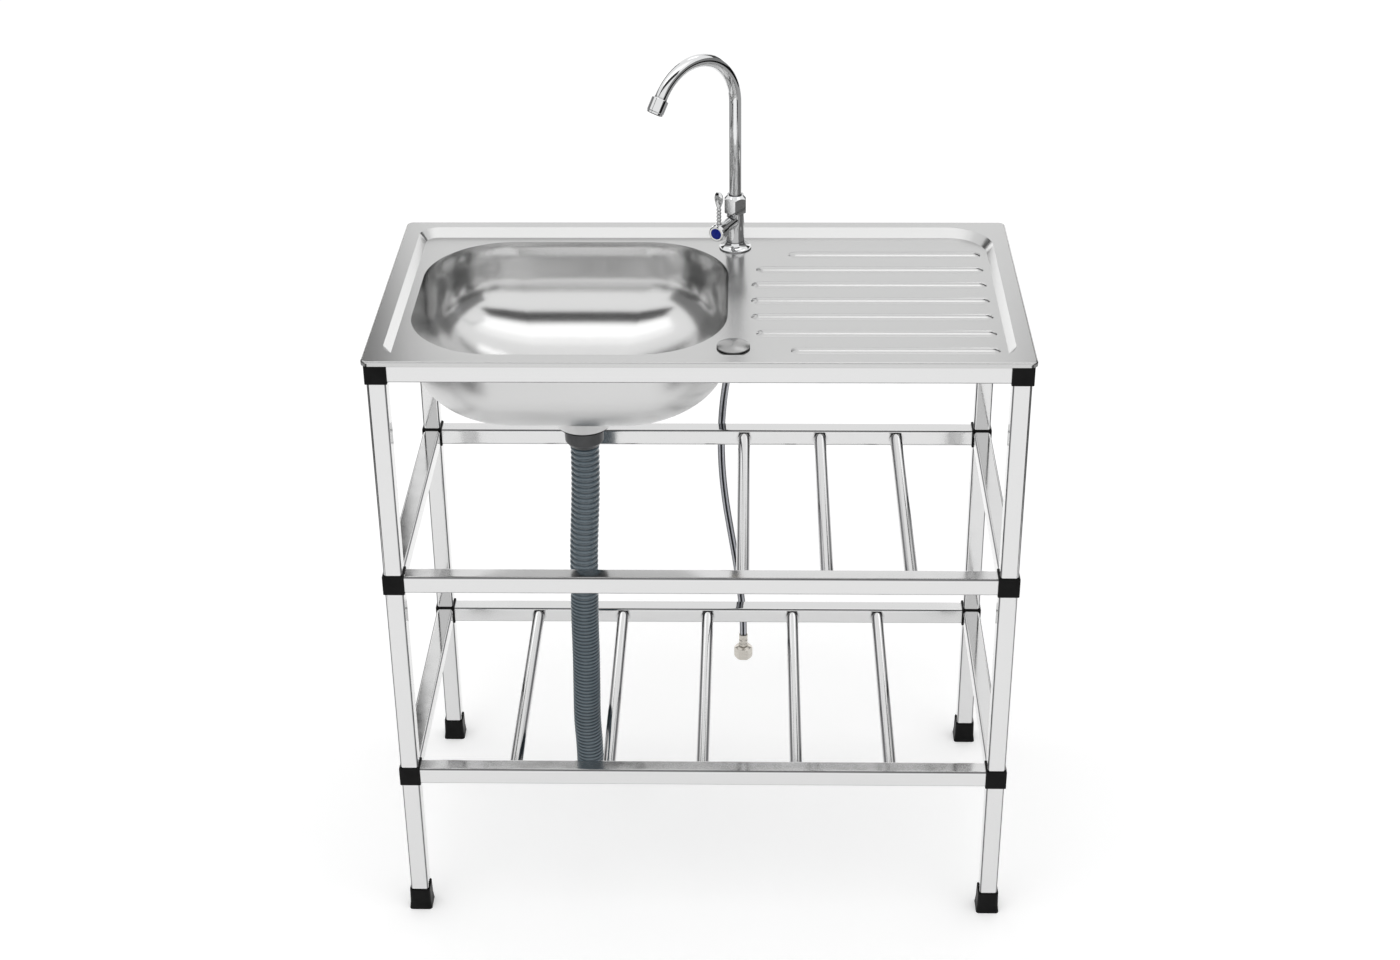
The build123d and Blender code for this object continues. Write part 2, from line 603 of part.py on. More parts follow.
def spigot(direction):
    """Square peg of a corner joint, with a tapered end, that fills a tube's bore."""
    size = BORE - 2 * SPIGOT_CLEARANCE
    peg = extrude(chamfer(Rectangle(size, size).vertices(), SPIGOT_CORNER), JOINT_CUBE / 2 + SPIGOT_LENGTH)
    peg = chamfer(peg.faces().sort_by(Axis.Z)[-1].edges(), SPIGOT_CHAMFER)
    return Plane(origin=(0, 0, 0), z_dir=direction) * peg


def make_corner_joint(level, x_side, y_side):
    """Moulded cube with a peg for each tube that meets it."""
    cube = fillet(Box(JOINT_CUBE, JOINT_CUBE, JOINT_CUBE).edges(), JOINT_EDGE)
    joint = cube + spigot((-x_side, 0, 0)) + spigot((0, -y_side, 0)) + spigot((0, 0, -1))
    if level + 1 < len(LEVEL_Z):
        joint += spigot((0, 0, 1))
    return Pos(x_side * LEG_X, y_side * LEG_Y, LEVEL_Z[level]) * joint


def make_leg(level, x_side, y_side):
    """Leg tube between two corner joints, or from a foot cap's floor to the lowest joint."""
    top = LEVEL_Z[level] - JOINT_CUBE / 2
    bottom = CAP_FLOOR if level == 0 else LEVEL_Z[level - 1] + JOINT_CUBE / 2
    return Pos(x_side * LEG_X, y_side * LEG_Y, bottom) * square_tube(top - bottom)


def make_foot_cap(x_side, y_side):
    """Flared plastic cap that the leg stands in."""
    outlines = []
    for z, size in ((0, CAP_BASE), (CAP_HEIGHT / 3, CAP_WAIST), (CAP_HEIGHT, CAP_TOP)):
        outlines.append((Pos(0, 0, z) * RectangleRounded(size, size, CAP_R)).face())
    pocket = TUBE + 2 * CAP_CLEARANCE
    cap = loft(outlines, ruled=True)
    cap -= Pos(0, 0, CAP_FLOOR) * extrude(RectangleRounded(pocket, pocket, TUBE_R), CAP_HEIGHT)
    return Pos(x_side * LEG_X, y_side * LEG_Y, 0) * cap


def lower_rod_places():
    """X of each rod of the lower shelf, evenly spaced between the side rails."""
    gap = RAIL_X_LENGTH / (LOWER_ROD_COUNT + 1)
    return [-RAIL_X_LENGTH / 2 + gap * (i + 1) for i in range(LOWER_ROD_COUNT)]


def middle_rod_places():
    """X of each rod of the middle shelf, which leaves the basin's side open."""
    gap = RAIL_X_LENGTH / MIDDLE_GAP_COUNT
    return [RAIL_X_LENGTH / 2 - gap * (i + 1) for i in reversed(range(MIDDLE_ROD_COUNT))]


ROD_PLACES = (lower_rod_places(), middle_rod_places(), [])
ROD_REACH = LEG_Y - TUBE / 2 - PLUG_FLANGE          # half the length of a rod


def make_cross_rail(level, y_side):
    """Rail along X, pierced on its inner side for the rods' end plugs."""
    rail = Pos(-RAIL_X_LENGTH / 2, 0, 0) * Rot(0, 90, 0) * square_tube(RAIL_X_LENGTH)
    hole = Rot(90, 0, 0) * Cylinder(PLUG_PIN_D / 2 + PIN_CLEARANCE, 3 * TUBE_WALL)
    for x in ROD_PLACES[level]:
        rail -= Pos(x, -y_side * TUBE / 2, 0) * hole
    return Pos(0, y_side * LEG_Y, LEVEL_Z[level]) * rail


def make_side_rail(level, x_side):
    """Rail along Y, between a front and a rear corner joint."""
    rail = square_tube(RAIL_Y_LENGTH)
    return Pos(x_side * LEG_X, RAIL_Y_LENGTH / 2, LEVEL_Z[level]) * Rot(90, 0, 0) * rail


def make_rods(level):
    """Round shelf tubes from front to back."""
    tube = Cylinder(ROD_D / 2, 2 * ROD_REACH) - Cylinder(ROD_D / 2 - ROD_WALL, 2 * ROD_REACH + 1)
    return [Pos(x, 0, LEVEL_Z[level]) * Rot(90, 0, 0) * tube for x in ROD_PLACES[level]]


def make_rod_plug(x, y_side, z):
    """Plastic end of a shelf rod: plug, flange against the rail, and a pin into it."""
    bore = ROD_D / 2 - ROD_WALL - PIN_CLEARANCE
    flange = ROD_D / 2
    pin = PLUG_PIN_D / 2
    plug = turned(((0, -PLUG_LENGTH), (bore - 1, -PLUG_LENGTH), (bore, 1 - PLUG_LENGTH), (bore, 0),
                   (flange, 0), (flange, PLUG_FLANGE), (pin, PLUG_FLANGE),
                   (pin, PLUG_FLANGE + PLUG_PIN_LENGTH), (0, PLUG_FLANGE + PLUG_PIN_LENGTH)))
    return Pos(x, y_side * ROD_REACH, z) * Rot(-90 * y_side, 0, 0) * plug


# ------------------------------------------------------------------ tap hole cover
def at_cover(solid):
    """A solid made about the origin, moved to the axis of the front tap hole."""
    return Pos(TAP_X, -TAP_Y, 0) * solid


def make_cover():
    """Domed disc over the unused tap hole, on a threaded stud."""
    low = DECK_Z + COVER_GASKET_THICK
    edge = low + COVER_EDGE
    crown = edge + COVER_RISE
    r = COVER_D / 2
    dome_r = (r ** 2 + COVER_RISE ** 2) / (2 * COVER_RISE)
    dome = RadiusArc((0, crown), (r, edge), dome_r)
    profile = make_face([dome, Polyline((r, edge), (r, low), (0, low), (0, crown))])
    stud = cylinder(COVER_STUD_D, DECK_Z - COVER_STUD_LENGTH, low)
    return at_cover(revolve(Plane.XZ * profile, Axis.Z) + stud)


def make_cover_gasket():
    """Rubber ring under the cover."""
    return at_cover(ring(COVER_D - 1, TAP_HOLE_D, DECK_Z, DECK_Z + COVER_GASKET_THICK))


def make_cover_nut():
    """Wide plastic nut with two wings that holds the cover from below."""
    top = DECK_Z - SHEET
    low = top - COVER_NUT_HEIGHT
    nut = cylinder(COVER_NUT_D, top - COVER_NUT_THICK, top) + cylinder(COVER_NUT_HUB_D, low, top)
    wing_height = COVER_NUT_HEIGHT - COVER_NUT_THICK / 2
    wing = fillet(Box(WING_THICK, 2 * WING_REACH, wing_height).edges().filter_by(Axis.X), WING_THICK)
    nut += Pos(0, 0, low + wing_height / 2) * wing
    return at_cover(nut - cylinder(COVER_STUD_D + 2 * PIN_CLEARANCE, low - 1, top + 1))


# ------------------------------------------------------------------ tap
def at_tap(solid):
    """A solid made about the origin, moved to the tap's axis."""
    return Pos(TAP_X, TAP_Y, 0) * solid


def at_valve(solid):
    """A solid made along +Z from the tap's axis, laid along the valve's axis."""
    plane = Plane(origin=(TAP_X, TAP_Y, VALVE_Z), x_dir=(0, 0, 1), z_dir=VALVE_AXIS)
    return plane * solid


def make_tap_flange():
    """Chromed skirt between the tap body and the deck."""
    r, body = FLANGE_D / 2, BODY_D / 2 + PIN_CLEARANCE
    low = DECK_Z + FLANGE_EDGE
    top = DECK_Z + FLANGE_HEIGHT
    neck = body + FLANGE_TOP_WALL
    flare = ThreePointArc((r, low), (body + FLANGE_HOLLOW_WALL, DECK_Z + FLANGE_HEIGHT / 2), (neck, top))
    profile = make_face([Polyline((neck, top), (body, top), (body, DECK_Z), (r, DECK_Z), (r, low)), flare])
    return at_tap(revolve(Plane.XZ * profile, Axis.Z))


def make_tap_body():
    """Column with its shank, waterway, socket for the spout and branch for the valve."""
    column = cylinder(BODY_D, DECK_Z, BODY_TOP) + cylinder(SHANK_D, SHANK_BOTTOM, DECK_Z)
    body = at_tap(column) + at_valve(cylinder(BRANCH_D, 0, BRANCH_REACH))
    body -= at_valve(cylinder(CARTRIDGE_D, CARTRIDGE_START, BRANCH_REACH + 1))
    body -= at_tap(cylinder(WATERWAY_D, SHANK_BOTTOM - 1, SPOUT_FOOT + 1))
    body -= at_tap(cylinder(SPOUT_D + 2 * SHAFT_CLEARANCE, SPOUT_FOOT - HUB_GAP, BODY_TOP + 1))
    bead_seat = BODY_TOP - SPOUT_BEAD_HEIGHT - 2 * HUB_GAP
    return body - at_tap(cylinder(SPOUT_BEAD_D + 2 * BEAD_CLEARANCE, bead_seat, BODY_TOP + 1))


def make_seat_washer():
    """Rubber washer under the deck."""
    top = DECK_Z - SHEET
    return ring(SEAT_WASHER_D, SHANK_D + 2 * PIN_CLEARANCE, top - SEAT_WASHER_THICK, top, TAP_X, TAP_Y)


def make_lock_nut():
    """Hexagonal nut that pulls the tap down on to the deck."""
    top = DECK_Z - SHEET - SEAT_WASHER_THICK
    nut = hexagon(LOCK_NUT_FLATS, top - LOCK_NUT_HEIGHT, top, TAP_X, TAP_Y)
    return nut - cylinder(SHANK_D + 2 * PIN_CLEARANCE, top - LOCK_NUT_HEIGHT - 1, top + 1,
                          TAP_X, TAP_Y)


def make_spout_nut():
    """Hexagonal collar that holds the spout's bead in the body."""
    low = BODY_TOP - SPOUT_NUT_LAP
    top = low + SPOUT_NUT_HEIGHT
    corner = SPOUT_NUT_FLATS / 2 / cos(radians(30))
    shape = turned(((0, low), (corner - NUT_EDGE / 2, low), (corner, low + NUT_EDGE),
                    (corner, top - SPOUT_NUT_TAPER), (SPOUT_NUT_TOP_D / 2, top), (0, top)))
    nut = shape & hexagon(SPOUT_NUT_FLATS, low, top, turn=30)
    nut -= cylinder(BODY_D + 2 * PIN_CLEARANCE, low - 1, BODY_TOP)
    return at_tap(nut - cylinder(SPOUT_D + 2 * SHAFT_CLEARANCE, BODY_TOP - 1, top + 1))


def spout_path():
    """Spout's middle line in the plane of its bend: riser, one long arc and a short tail."""
    knee = (0, DECK_Z + SPOUT_RISE)
    riser = Line((0, SPOUT_FOOT), knee)
    bend = JernArc(start=knee, tangent=(0, 1), radius=SPOUT_BEND_R, arc_size=-SPOUT_BEND_ANGLE)
    return riser + bend + Line(bend @ 1, bend @ 1 + SPOUT_TAIL * (bend % 1))


def at_spout(solid):
    """A solid made in the XZ plane with its bend towards +X, turned to the spout's rest."""
    return at_tap(Rot(0, 0, -90 - SPOUT_SWIVEL) * solid)


def make_spout():
    """Bent tube with a bead on its foot."""
    path = Plane.XZ * spout_path()
    ends = Plane(origin=path @ 0, z_dir=path % 0)
    outside = sweep(ends * Circle(SPOUT_D / 2), path=path)
    bead_top = BODY_TOP - HUB_GAP
    outside += cylinder(SPOUT_BEAD_D, bead_top - SPOUT_BEAD_HEIGHT, bead_top)
    inside = sweep(ends * Circle(SPOUT_D / 2 - SPOUT_WALL), path=path)
    return at_spout(outside - inside)


def make_aerator():
    """Screwed nozzle on the spout's end, with a perforated disc inside."""
    path = Plane.XZ * spout_path()
    r, tube = AERATOR_D / 2, SPOUT_D / 2 + PIN_CLEARANCE
    inner, collar_r = r - AERATOR_WALL, r - AERATOR_COLLAR_STEP
    end = AERATOR_LENGTH - AERATOR_LAP
    collar = end - AERATOR_COLLAR
    shell = turned(((tube, -AERATOR_LAP), (r - AERATOR_EDGE, -AERATOR_LAP), (r, AERATOR_EDGE - AERATOR_LAP),
                    (r, collar - AERATOR_EDGE), (collar_r, collar), (collar_r, end), (inner, end),
                    (inner, AERATOR_EDGE), (tube, AERATOR_EDGE)))
    screen_z = end - SCREEN_SETBACK
    screen = cylinder(2 * inner + AERATOR_EDGE, screen_z - SCREEN_THICK / 2, screen_z + SCREEN_THICK / 2)
    for i in range(SCREEN_RING_COUNT):
        ring_r = SCREEN_FIRST_RING_R + i * SCREEN_RING_PITCH
        for place in PolarLocations(ring_r, (i + 1) * SCREEN_HOLE_COUNT):
            screen -= place * cylinder(SCREEN_HOLE_D, screen_z - SCREEN_THICK, screen_z + SCREEN_THICK)
    return at_spout(Plane(origin=path @ 1, z_dir=path % 1) * (shell + screen))


def make_cartridge():
    """Brass valve sleeve in the branch, with the spindle's bore."""
    sleeve = cylinder(CARTRIDGE_D, CARTRIDGE_START, BRANCH_REACH)
    bore = cylinder(SPINDLE_D + 2 * SHAFT_CLEARANCE, SPINDLE_START - HUB_GAP, BRANCH_REACH + 1)
    return at_valve(sleeve - bore)


def make_spindle():
    """Shaft that the handle turns."""
    return at_valve(cylinder(SPINDLE_D, SPINDLE_START, SPINDLE_END))


def make_lever():
    """Upright lever on the hub: a beaded neck that opens into a spoon-shaped paddle."""
    neck_r, root = LEVER_NECK_D / 2, HUB_D / 2 - LEVER_ROOT_DEPTH
    groove_r = neck_r - BEAD_DEPTH
    pitch = (LEVER_NECK_TOP - root) / LEVER_BEAD_COUNT
    points = [(0, root)]
    for i in range(LEVER_BEAD_COUNT):
        z = root + i * pitch
        points += [(groove_r, z), (neck_r, z + 0.3 * pitch), (neck_r, z + 0.7 * pitch)]
    neck = turned(points + [(groove_r, LEVER_NECK_TOP), (0, LEVER_NECK_TOP)])
    rise = LEVER_TOP - LEVER_NECK_TOP
    outlines = []
    for share, width, thick in PADDLE_SHAPE:
        outline = Ellipse(width * PADDLE_WIDTH / 2, thick * PADDLE_THICK / 2)
        outlines.append((Pos(0, 0, LEVER_NECK_TOP + share * rise) * outline).face())
    return neck + loft(outlines)


def make_handle():
    """Hub on the spindle, with a seat for the index button, and the lever."""
    r = HUB_D / 2
    edge = r - HUB_EDGE
    hub = turned(((0, HUB_START), (edge, HUB_START), (r, HUB_START + HUB_EDGE), (r, HUB_END - 2 * HUB_BEVEL),
                  (edge, HUB_END - HUB_EDGE), (r - HUB_BEVEL, HUB_END), (0, HUB_END)))
    hub -= cylinder(INDEX_D + 2 * PIN_CLEARANCE, HUB_END - INDEX_DEPTH, HUB_END + 1)
    hub -= cylinder(SPINDLE_D, HUB_START - 1, SPINDLE_END)
    upright = Plane(origin=(0, 0, HUB_START + LEVER_SETBACK), x_dir=(0, 1, 0), z_dir=(1, 0, 0))
    return at_valve(hub + upright * make_lever())


def make_index():
    """Blue index button in the middle of the hub."""
    r = INDEX_D / 2
    low = HUB_END - INDEX_DEPTH
    edge = HUB_END + INDEX_RISE
    crown = edge + INDEX_RISE / 2
    return at_valve(turned(((0, low), (r, low), (r, HUB_END), (r - INDEX_RISE, edge), (0, crown))))


# ------------------------------------------------------------------ all parts
def build():
    """Every node by name, with its solid or solids."""
    parts = {
        "sink_top": make_sink_top(), "basin": make_basin(), "strainer": make_strainer(),
        "strainer_screw": make_strainer_screw(), "waste_gasket": make_waste_gasket(),
        "waste_body": make_waste_body(), "drain_hose": make_drain_hose(),
        "tap_hole_cover": make_cover(), "cover_gasket": make_cover_gasket(), "cover_nut": make_cover_nut(),
        "tap_flange": make_tap_flange(), "tap_body": make_tap_body(), "tap_seat_washer": make_seat_washer(),
        "tap_lock_nut": make_lock_nut(), "spout_nut": make_spout_nut(), "spout": make_spout(),
        "aerator": make_aerator(), "valve_cartridge": make_cartridge(), "valve_spindle": make_spindle(),
        "tap_handle": make_handle(), "index_button": make_index(),
        "supply_top_nut": make_supply_top_nut(),
        "supply_top_ferrule": make_ferrule(TAP_X, TAP_Y, FERRULE_BOTTOM + SUPPLY_FERRULE_LENGTH),
        "supply_hose": make_supply_hose(),
    }
    end_x, end_y, end_z = supply_hose_points()[-1]
    parts["supply_ferrule"] = make_ferrule(end_x, end_y, end_z)
    parts["supply_nut"] = make_supply_nut(end_x, end_y, end_z - SUPPLY_FERRULE_LENGTH)
    for level, name in enumerate(LEVEL_NAMES):
        parts[f"corner_joints_{name}"] = [make_corner_joint(level, x, y) for _, x, y in joint_sites()]
        for site, x_side, y_side in joint_sites():
            parts[f"leg_{name}_{site}"] = make_leg(level, x_side, y_side)
        for side_name, side in (("front", -1), ("rear", 1)):
            parts[f"rail_{name}_{side_name}"] = make_cross_rail(level, side)
        for side_name, side in (("left", -1), ("right", 1)):
            parts[f"rail_{name}_{side_name}"] = make_side_rail(level, side)
        if ROD_PLACES[level]:
            parts[f"shelf_rods_{name}"] = make_rods(level)
            parts[f"rod_plugs_{name}"] = [make_rod_plug(x, side, LEVEL_Z[level])
                                          for x in ROD_PLACES[level] for side in (-1, 1)]
    parts["foot_caps"] = [make_foot_cap(x, y) for _, x, y in joint_sites()]
    return parts


os.makedirs("parts", exist_ok=True)
for node, shape in build().items():
    solids = shape if isinstance(shape, list) else shape.solids()
    whole = solids[0] if len(solids) == 1 else Compound(children=list(solids))
    export_step(whole, f"parts/{node}.step")
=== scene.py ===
from math import cos, pi, sin, tau

import bpy
from mathutils import Matrix, Vector


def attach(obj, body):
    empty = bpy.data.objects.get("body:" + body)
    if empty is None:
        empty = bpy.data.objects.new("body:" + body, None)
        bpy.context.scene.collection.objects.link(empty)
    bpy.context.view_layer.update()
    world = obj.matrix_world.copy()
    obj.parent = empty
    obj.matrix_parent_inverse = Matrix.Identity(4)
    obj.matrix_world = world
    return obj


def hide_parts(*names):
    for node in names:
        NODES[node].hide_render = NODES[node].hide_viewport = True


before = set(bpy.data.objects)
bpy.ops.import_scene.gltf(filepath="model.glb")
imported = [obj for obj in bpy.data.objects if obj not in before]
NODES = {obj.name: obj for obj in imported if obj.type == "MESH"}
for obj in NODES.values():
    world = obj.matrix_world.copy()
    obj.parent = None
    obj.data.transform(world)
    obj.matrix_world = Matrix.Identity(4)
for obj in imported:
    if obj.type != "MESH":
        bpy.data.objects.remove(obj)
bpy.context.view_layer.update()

# Metres, in the frame's own axes: +X right, +Y to the rear, +Z up.

# ------------------------------------------------------------------ camera
CAMERA_PLACE = Vector((0.0597, -2.4507, 1.8850))
CAMERA_RIGHT = Vector((0.99974, 0.02142, -0.00834))
CAMERA_BACK = Vector((0.02277, -0.87276, 0.48762))
CAMERA_LENS_MM = 58.50
SENSOR_MM = 36.0

# ------------------------------------------------------------------ hoses
ROUTE_STEPS = 16              # points of the line for each point of a route
ROUTE_ORDER = 3               # of the NURBS curve along a route

DRAIN_EXIT = (-0.1425, -0.0300, 0.58305)
DRAIN_STEPS = (               # right, rearwards and down, each from the point before
    (0, 0, 0.042), (-0.0026, 0.0006, 0.052), (-0.0033, -0.0004, 0.054),
    (-0.0010, 0.0010, 0.052), (-0.0012, -0.0008, 0.050), (0.0002, -0.0010, 0.054),
    (-0.0012, 0.0008, 0.056), (-0.0010, 0.0006, 0.046), (0.0023, -0.0008, 0.040),
    (0, 0, 0.037))
DRAIN_OUTER_D = 0.0350
DRAIN_ROOT_D = 0.0306
DRAIN_BORE_D = 0.0280
DRAIN_LONG_PITCH = 0.0074     # where the hose is stretched
DRAIN_SHORT_PITCH = 0.0050    # where it is closed up
DRAIN_LONG_PART = 0.44        # of its length
DRAIN_PLAIN_TOP = 0.002       # before the first rib
DRAIN_PLAIN_END = 0.001       # after the last rib, at least
DRAIN_SIDES = 48
RIB_PART = 0.62               # of a pitch
RIB_STEEPNESS = 1.35          # over 1, a rib has a flat crest
RIB_STEPS = 12
BORE_STATIONS = (1.0, 0.9, 0.75, 0.5, 0.25, 0.0)     # shares of the length, from the open end

SUPPLY_EXIT = (0.0384, 0.1415, 0.69235)
SUPPLY_STEPS = (              # right, rearwards and down, all from the exit
    (0, 0, 0), (0, 0, 0.028), (-0.0019, 0.0055, 0.064), (-0.0089, 0.0295, 0.108),
    (-0.0156, 0.0565, 0.160), (-0.0196, 0.0655, 0.214), (-0.0191, 0.0660, 0.268),
    (-0.0146, 0.0655, 0.320), (-0.0070, 0.0661, 0.372), (0.0011, 0.0655, 0.424),
    (0.0068, 0.0651, 0.472), (0.0102, 0.0655, 0.510), (0.0102, 0.0655, 0.537))
SUPPLY_D = 0.0095
SUPPLY_SIDES = 32
SUPPLY_STATIONS = 280

# ------------------------------------------------------------------ looks
# Colours are linear, and the heights of bumps are in metres.
DECK_STEEL = (0.58, 0.58, 0.578)
BOWL_STEEL = (0.72, 0.72, 0.718)
COVER_STEEL = (0.38, 0.38, 0.378)
# painted shade: the bowl's outside is darker than its inside, though both are the same steel
UNDERSIDE_STEEL_SHADED = (0.64, 0.64, 0.638)
STEEL_SPREAD = 0.01                      # of the roughness, either way
STEEL_DARKEST = 0.985                    # shares of the steel's colour
STEEL_PALEST = 1.015
STEEL_GRAIN_HEIGHT = 0.000001
GRAIN_ALONG_X = (0.03, 1, 1)             # a small share stretches the grain along its axis
GRAIN_ROUND_BOWL = (0.05, 0.05, 1)
GRAIN_ON_COVER = (0.3, 1, 1)

TUBE_STEEL = (0.7, 0.7, 0.7)
TUBE_SHADE = (0.12, 0.12, 0.125)         # painted shade at bent corners and in gaps
TUBE_GAP = 0.006
TUBE_RIPPLE = 0.00003
CHROME = (0.76, 0.765, 0.77)
CHROME_SHADE = (0.08, 0.08, 0.085)       # painted shade in gaps
CHROME_GAP = 0.004
CHROME_RIPPLE = 0.000012
BRASS = (0.72, 0.52, 0.25)
NICKEL = (0.6, 0.57, 0.52)
TURNING_SQUEEZE = (1, 1, 14)
TURNING_SPREAD = (-0.06, 0.1)            # of the roughness
TURNING_HEIGHT = 0.00004
METAL_EDGE = 0.0003                      # radius that a sharp edge is shown with

JOINT_BLACK = (0.004, 0.004, 0.004)
RUBBER_BLACK = (0.008, 0.008, 0.008)
COUPLING_GREY = (0.047, 0.048, 0.05)
COVER_NUT_WHITE = (0.5, 0.5, 0.49)
MOULDED_EDGE = 0.0006
PEBBLE_HEIGHT = 0.00006
BLOTCH_SPREAD = (-0.07, 0.08)            # of the roughness
BLOTCH_GAIN, BLOTCH_LIFT = 1.35, 0.004   # from the plastic's colour to its palest blotches

HOSE_BLUE_GREY = (0.10, 0.14, 0.17)
# painted shade in the grooves of the ribs, and painted highlight on their crests
HOSE_GROOVE_SHADE = (0.02, 0.03, 0.04)
HOSE_CREST_HIGHLIGHT = (0.13, 0.175, 0.205)
HOSE_STRETCH = (1, 1, 0.4)
HOSE_MOTTLE_HEIGHT = 0.0001
BRAID_GREY = (0.5, 0.5, 0.5)
# painted reflection round the braid: black between four pale bands of painted highlight
BRAID_DARK_REFLECTION = (0.012, 0.013, 0.016)
BRAID_PALE_HIGHLIGHT = (0.52, 0.53, 0.57)
BRAID_STRANDS = 12                       # each way round
BRAID_LAY = 0.030                        # along the hose, for one turn of a strand
BRAID_HEIGHT = 0.00025
INDEX_BLUE = (0.0, 0.012, 0.22)
INDEX_DEEP = (0.0, 0.007, 0.17)
INDEX_PALE = (0.0, 0.014, 0.26)
INDEX_RIPPLE = 0.00003

# ------------------------------------------------------------------ studio
FLOOR_SIZE = 24.0
FLOOR_WHITE = (0.9, 0.9, 0.9)
FLOOR_GLOW = 0.24             # brings the lit floor to white, for the camera and mirrors only
WORLD_LIGHT = 0.9             # what the surroundings shed on things
WORLD_SEEN = 1.0              # how bright they look
WHITE = (1, 1, 1, 1)
CARD_BLACK = (0.01, 0.01, 0.01)
FLAT = Matrix.Identity(4)
UPRIGHT = Matrix.Rotation(pi / 2, 4, "X")
SIDEWAYS = Matrix.Rotation(pi / 2, 4, "Y")

# name, width and height, place, turn, glow; the first list stands on both sides of the unit
SIDE_CARDS = (
    ("side_tone", 0.82, 2.6, (1.25, 0, 0.21), SIDEWAYS, 0.38),
    ("side_flag", 0.38, 2.6, (1.25, 0, 0.81), SIDEWAYS, 0.0),
    ("side_shade", 0.6, 2.6, (1.25, 0, 1.3), SIDEWAYS, 0.22),
    ("rear_flag", 2.4, 1.0, (1.92, 2.0, 1.95), UPRIGHT, 0.05),
    ("rear_glow", 0.7, 0.55, (0.85, 2.0, 1.02), UPRIGHT, 1.6),
    ("low_flag", 0.5, 0.6, (0.85, -0.9, 0.3), UPRIGHT, 0.0))
MIDDLE_CARDS = (
    ("high_flag", 3.4, 1.4, (0, -1.1, 2.95), UPRIGHT, 0.03),
    ("overhead", 3.0, 0.7, (0, -0.3, 2.9), FLAT, 1.5),
    ("overhead_edge", 3.0, 0.4, (0, 0.25, 2.9), FLAT, 1.2),
    ("overhead_rear", 0.9, 0.7, (0.55, 1.5, 2.9), FLAT, 1.8))

# name, place, the point it is aimed at, width and height, watts
LAMPS = (
    ("key", (-1.2, -1.8, 2.9), (0, 0, 0.5), 1.8, 1.8, 6),
    ("fill", (1.9, -1.4, 2.2), (0, 0, 0.5), 1.6, 1.6, 2),
    ("back", (0.2, 2.2, 2.6), (0, 0, 0.6), 2.2, 1.0, 2))


def make_camera():
    """Camera at the photograph's place, angle and field of view."""
    data = bpy.data.cameras.new("camera")
    data.sensor_width = SENSOR_MM
    data.lens = CAMERA_LENS_MM
    camera = bpy.data.objects.new("camera", data)
    up = CAMERA_BACK.cross(CAMERA_RIGHT)
    turn = Matrix((CAMERA_RIGHT, up, CAMERA_BACK)).transposed()
    camera.matrix_world = Matrix.Translation(CAMERA_PLACE) @ turn.to_4x4()
    bpy.context.scene.collection.objects.link(camera)
    bpy.context.scene.camera = camera


# ------------------------------------------------------------------ making hoses
def drain_route():
    """Points that lead the waste hose, from the coupling down."""
    x, y, z = DRAIN_EXIT
    points = [(x, y, z)]
    for right, back, drop in DRAIN_STEPS:
        x, y, z = x + right, y + back, z - drop
        points.append((x, y, z))
    return points


def supply_route():
    """Points that lead the supply hose, from the upper ferrule down."""
    x, y, z = SUPPLY_EXIT
    return [(x + right, y + back, z - drop) for right, back, drop in SUPPLY_STEPS]


def smooth_line(name, route):
    """Points along one open NURBS curve that the route's points lead."""
    curve = bpy.data.curves.new(name, "CURVE")
    curve.dimensions = "3D"
    curve.resolution_u = ROUTE_STEPS
    spline = curve.splines.new("NURBS")
    spline.points.add(len(route) - 1)
    for point, place in zip(spline.points, route):
        point.co = (*place, 1)
    spline.order_u = ROUTE_ORDER
    spline.use_endpoint_u = True
    holder = bpy.data.objects.new(name, curve)
    bpy.context.scene.collection.objects.link(holder)
    bpy.context.view_layer.update()
    mesh = bpy.data.meshes.new_from_object(holder)
    line = [vertex.co.copy() for vertex in mesh.vertices]
    bpy.data.objects.remove(holder)
    bpy.data.meshes.remove(mesh)
    return line


class Line:
    """A polyline with places and steady cross-section axes at any distance along it."""

    STEADY = Vector((1, 0, 0))      # no hose runs along X

    def __init__(self, points):
        self.points = points
        self.along = [0.0]
        for a, b in zip(points, points[1:]):
            self.along.append(self.along[-1] + (b - a).length)
        self.length = self.along[-1]

    def place(self, distance):
        """Point and direction at a distance from the start."""
        distance = min(max(distance, 0.0), self.length)
        i = 0
        while i < len(self.along) - 2 and self.along[i + 1] < distance:
            i += 1
        a, b = self.points[i], self.points[i + 1]
        share = (distance - self.along[i]) / (self.along[i + 1] - self.along[i])
        before = self.points[max(i - 1, 0)]
        after = self.points[min(i + 2, len(self.points) - 1)]
        start = (b - before).normalized() * (1 - share)
        end = (after - a).normalized() * share
        return a.lerp(b, share), (start + end).normalized()

    def ring(self, distance, radius, count):
        """Points of a circle round the line, numbered from the steady direction."""
        centre, direction = self.place(distance)
        across = (self.STEADY - direction * self.STEADY.dot(direction)).normalized()
        other = direction.cross(across)
        return [centre + radius * (across * cos(tau * k / count) + other * sin(tau * k / count))
                for k in range(count)]


